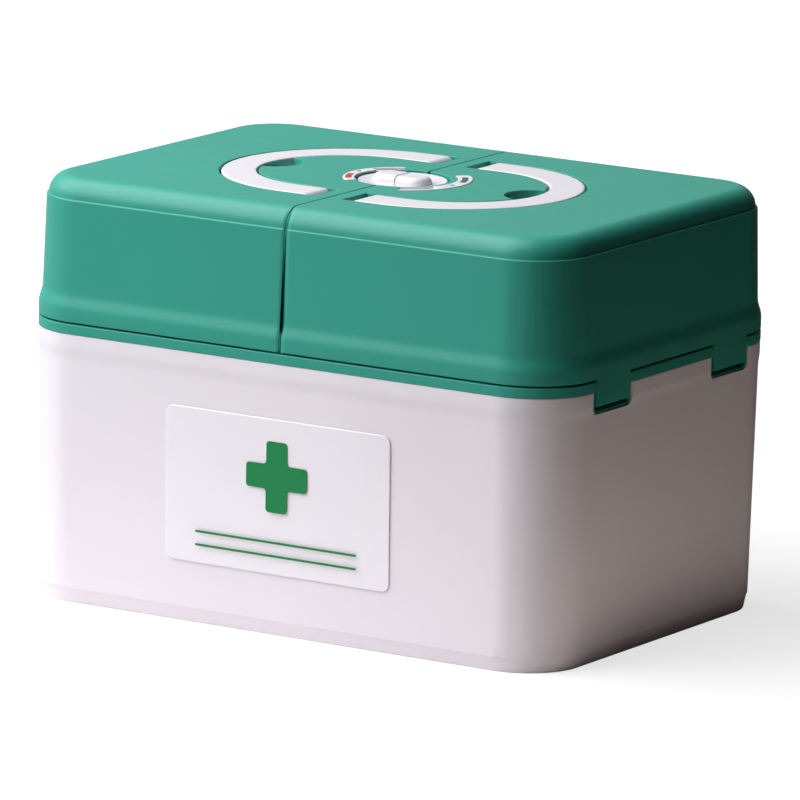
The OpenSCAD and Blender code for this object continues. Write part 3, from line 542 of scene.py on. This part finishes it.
BOUNCE_LEFT = (0.76, 0.74, 0.76, 1)     # the floor as it lights the object, on the lit side
BOUNCE_FRONT = (0.86, 0.82, 0.83, 1)    # in front
BOUNCE_RIGHT = (0.95, 0.81, 0.71, 1)    # and on the dark side
BOUNCE_FAR = 0.06               # how much of that is left further off
FLOOR_HALF = 12                 # half the floor's width, in metres
FLOOR_PALE = 0.36               # the floor as it is seen
GLOW_NEAR = 0.72                # its own brightness near the object
GLOW_FAR = 0.97                 # and far off
WORLD_FILL = 0.10               # the light that comes from all round
DARK_SIDE = (0.93, 0.36, 0.05)  # the studio is dark on this side
DARK_KEEP = 0.02                # how much of the fill is left there
FLOOR_GLOSS = 0.5               # the floor in the object's gloss
GLOSS_LOW = 0.42                # the backdrop in the object's gloss, low down
GLOSS_HIGH = 0.46               # and overhead


def dark_side(n, direction):
    """1 towards the lit side of the studio, DARK_KEEP towards the dark side."""
    side = n.add("ShaderNodeVectorMath", operation="DOT_PRODUCT")
    n.link(direction, side.inputs[0])
    side.inputs[1].default_value = DARK_SIDE
    return ramp(n, side.outputs["Value"], (-0.25, 0.55), (1.0, DARK_KEEP))


def ramp(n, value, span, levels):
    """A smooth ramp of value over span, between two levels."""
    node = n.add("ShaderNodeMapRange", interpolation_type="SMOOTHSTEP")
    node.inputs["From Min"].default_value = span[0]
    node.inputs["From Max"].default_value = span[1]
    node.inputs["To Min"].default_value = levels[0]
    node.inputs["To Max"].default_value = levels[1]
    n.link(value, node.inputs["Value"])
    return node.outputs["Result"]


def product(n, a, b):
    node = n.add("ShaderNodeMath", operation="MULTIPLY")
    n.link(a, node.inputs[0])
    if isinstance(b, (int, float)):
        node.inputs[1].default_value = b
    else:
        n.link(b, node.inputs[1])
    return node.outputs[0]


def make_floor():
    """A pale sheet that keeps the object's shadow and turns white away from it."""
    mesh = bpy.data.meshes.new("floor")
    s = FLOOR_HALF
    mesh.from_pydata([(-s, -s, 0), (s, -s, 0), (s, s, 0), (-s, s, 0)], [], [(0, 1, 2, 3)])
    floor = bpy.data.objects.new("floor", mesh)
    scene.collection.objects.link(floor)
    mat = bpy.data.materials.new("floor")
    mat.use_nodes = True
    n = Nodes(mat.node_tree)
    out = n.add("ShaderNodeOutputMaterial")
    at = n.add("ShaderNodeTexCoord").outputs["Object"]
    across = n.add("ShaderNodeSeparateXYZ")
    n.link(at, across.inputs[0])
    lit = n.add("ShaderNodeMix", data_type="RGBA")
    lit.inputs["A"].default_value = BOUNCE_LEFT
    lit.inputs["B"].default_value = BOUNCE_FRONT
    n.link(ramp(n, across.outputs["X"], (-0.3, 0.0), (0.0, 1.0)), lit.inputs["Factor"])
    shaded = n.add("ShaderNodeVectorMath", operation="DOT_PRODUCT")
    n.link(at, shaded.inputs[0])
    shaded.inputs[1].default_value = DARK_SIDE
    hue = n.add("ShaderNodeMix", data_type="RGBA")
    n.link(lit.outputs["Result"], hue.inputs["A"])
    hue.inputs["B"].default_value = BOUNCE_RIGHT
    n.link(ramp(n, shaded.outputs["Value"], (0.05, 0.2), (0.0, 1.0)), hue.inputs["Factor"])
    tone = n.add("ShaderNodeVectorMath", operation="SCALE")
    n.link(hue.outputs["Result"], tone.inputs[0])
    away = n.add("ShaderNodeVectorMath", operation="LENGTH")
    n.link(at, away.inputs[0])
    n.link(ramp(n, away.outputs["Value"], (0.25, 0.65), (1.0, BOUNCE_FAR)), tone.inputs["Scale"])
    grey = n.add("ShaderNodeBsdfDiffuse")
    n.link(tone.outputs[0], grey.inputs["Color"])
    pale = n.add("ShaderNodeBsdfDiffuse")
    glow = n.add("ShaderNodeEmission", Color=(1, 1, 1, 1))
    # the sheet turns whiter away from the object, but not in the gloss of the dark side
    whiter = ramp(n, away.outputs["Value"], (0.3, 1.3), (GLOW_NEAR, GLOW_FAR))
    toward = n.add("ShaderNodeVectorMath", operation="NORMALIZE")
    n.link(at, toward.inputs[0])
    in_gloss = n.add("ShaderNodeMix", data_type="FLOAT")
    n.link(n.add("ShaderNodeLightPath").outputs["Is Glossy Ray"], in_gloss.inputs["Factor"])
    in_gloss.inputs["A"].default_value = 1.0
    n.link(product(n, dark_side(n, toward.outputs[0]), FLOOR_GLOSS), in_gloss.inputs["B"])
    n.link(product(n, in_gloss.outputs["Result"], FLOOR_PALE), pale.inputs["Color"])
    n.link(product(n, whiter, in_gloss.outputs["Result"]), glow.inputs["Strength"])
    both = n.add("ShaderNodeAddShader")
    n.link(pale.outputs[0], both.inputs[0])
    n.link(glow.outputs[0], both.inputs[1])
    mix = n.add("ShaderNodeMixShader")
    n.link(seen_directly(n), mix.inputs["Fac"])
    n.link(grey.outputs[0], mix.inputs[1])
    n.link(both.outputs[0], mix.inputs[2])
    n.link(mix.outputs[0], out.inputs["Surface"])
    mesh.materials.append(mat)


def area(name, size, at, aim, power, color=(1, 1, 1), seen=True):
    """A soft light, which the camera and the object's gloss see or not."""
    data = bpy.data.lights.new(name, "AREA")
    data.shape = "RECTANGLE"
    data.size, data.size_y = size
    data.energy = power
    data.color = color
    lamp = bpy.data.objects.new(name, data)
    lamp.visible_camera = seen
    lamp.visible_glossy = seen
    lamp.location = at
    lamp.rotation_euler = (Vector(aim) - Vector(at)).to_track_quat("-Z", "Y").to_euler()
    scene.collection.objects.link(lamp)


def make_world():
    """A white backdrop to the camera, and a weak fill to the object."""
    world = bpy.data.worlds.new("world")
    world.use_nodes = True
    n = Nodes(world.node_tree)
    out = n.add("ShaderNodeOutputWorld")
    # one side of the studio is dark; the backdrop that the camera sees is white all round
    toward = n.add("ShaderNodeTexCoord").outputs["Generated"]
    shade = dark_side(n, toward)
    height = n.add("ShaderNodeSeparateXYZ")
    n.link(toward, height.inputs[0])
    overhead = ramp(n, height.outputs["Z"], (0.1, 0.75), (GLOSS_LOW, GLOSS_HIGH))
    fill = n.add("ShaderNodeBackground", Color=(1, 1, 1, 1))
    n.link(product(n, shade, WORLD_FILL), fill.inputs["Strength"])
    gloss = n.add("ShaderNodeBackground", Color=(1, 1, 1, 1))
    n.link(product(n, shade, overhead), gloss.inputs["Strength"])
    white = n.add("ShaderNodeBackground", Color=(1, 1, 1, 1), Strength=1.0)
    path = n.add("ShaderNodeLightPath")
    glossy = n.add("ShaderNodeMixShader")
    n.link(path.outputs["Is Glossy Ray"], glossy.inputs["Fac"])
    n.link(fill.outputs[0], glossy.inputs[1])
    n.link(gloss.outputs[0], glossy.inputs[2])
    clear = n.add("ShaderNodeMath", operation="MAXIMUM")
    n.link(path.outputs["Is Camera Ray"], clear.inputs[0])
    n.link(path.outputs["Is Transmission Ray"], clear.inputs[1])
    mix = n.add("ShaderNodeMixShader")
    n.link(clear.outputs[0], mix.inputs["Fac"])
    n.link(glossy.outputs[0], mix.inputs[1])
    n.link(white.outputs[0], mix.inputs[2])
    n.link(mix.outputs[0], out.inputs["Surface"])
    scene.world = world


make_floor()
make_world()
KEY_AIM = Vector((0, 0, 0.1))
KEY_DIR = Vector((-0.53, -0.365, 0.765)).normalized()
KEY_OFF = 1.45                  # the key light's distance from there
KEY_SIZE = 1.8
KEY_WATTS = 49
CARD_AT = (0.235, 0, 0.004)     # a weak warm card that lies low on the dark side and faces up
CARD_SIZE = (0.07, 0.26)
CARD_WATTS = 0.034
CARD_WARM = (1, 0.86, 0.80)
area("key", (KEY_SIZE, KEY_SIZE), KEY_DIR * KEY_OFF + KEY_AIM, KEY_AIM, KEY_WATTS)
area("card", CARD_SIZE, CARD_AT, (CARD_AT[0], CARD_AT[1], 1), CARD_WATTS, CARD_WARM, seen=False)
scene.view_settings.view_transform = "Standard"
